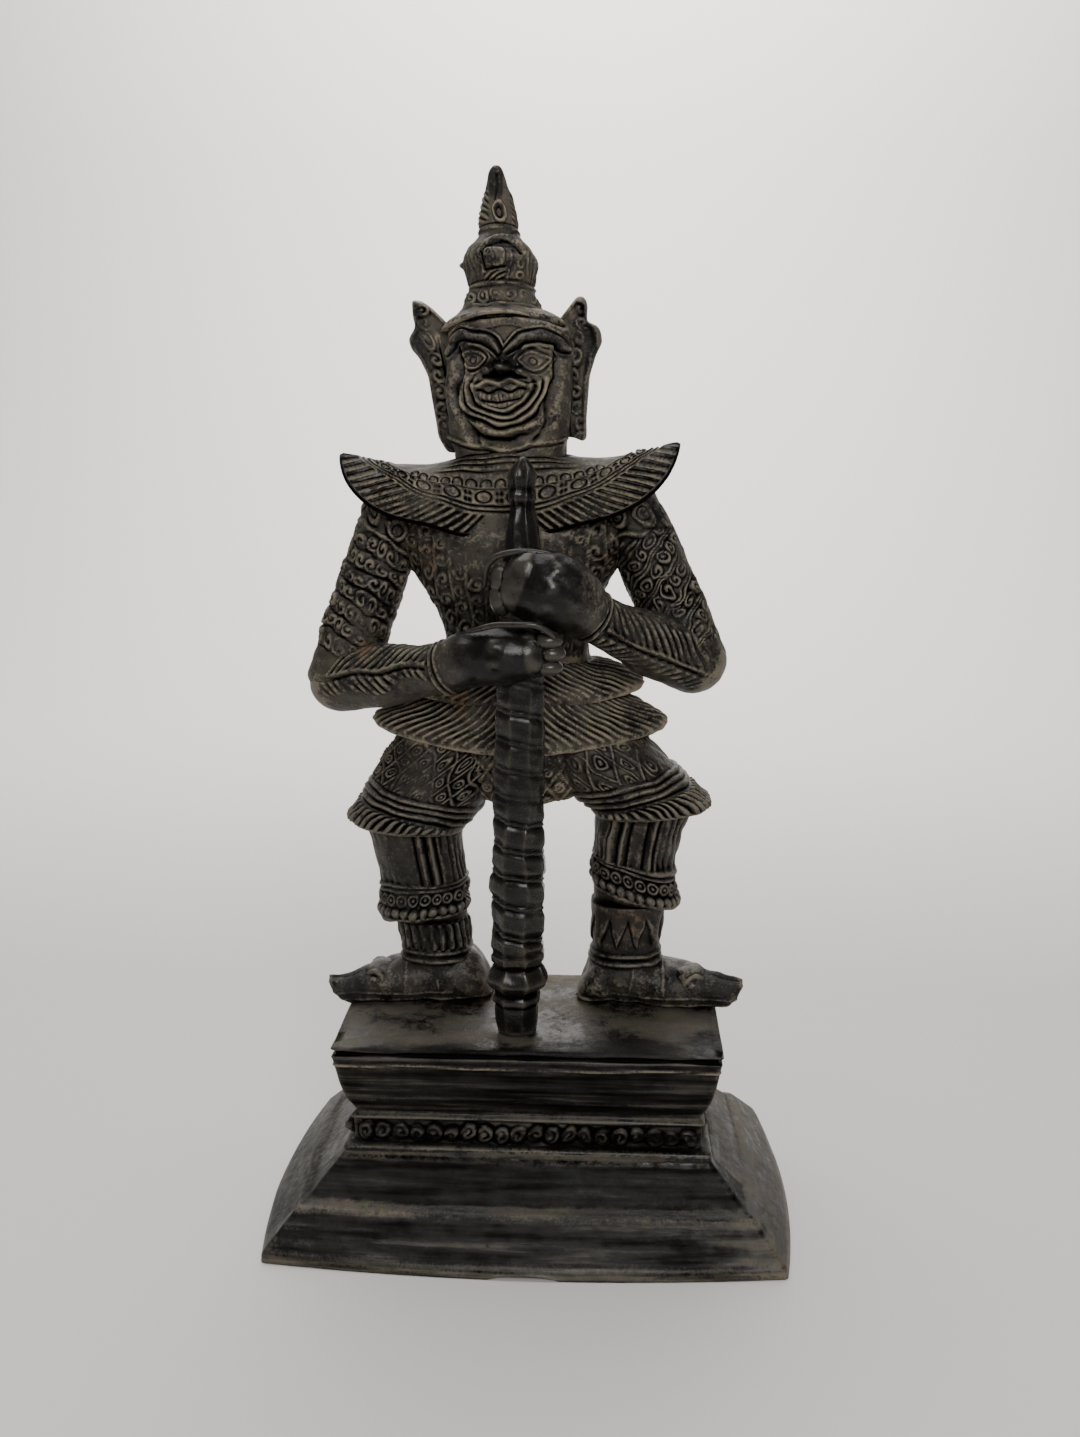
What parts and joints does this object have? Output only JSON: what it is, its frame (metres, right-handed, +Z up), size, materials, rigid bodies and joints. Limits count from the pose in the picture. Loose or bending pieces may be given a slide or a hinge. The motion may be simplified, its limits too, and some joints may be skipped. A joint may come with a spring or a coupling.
{
  "type": "guardian statuette",
  "caption": "Cast statuette of a standing temple guardian demon resting both hands on a club, on a stepped rectangular plinth with a row of pearls.",
  "frame": {"origin": "middle of the plinth's underside", "axes": "+Z up, -Y towards the figure's front, +X to the right as seen from the front"},
  "size_m": [0.14, 0.0929, 0.27],
  "materials": {
    "bronze": "dark brown-black patinated bronze, satin, with light brown dust in the recesses and polish on the hands and club"
  },
  "bodies": {
    "root": {"yaksha_with_plinth": "bronze"}
  },
  "joints": []
}
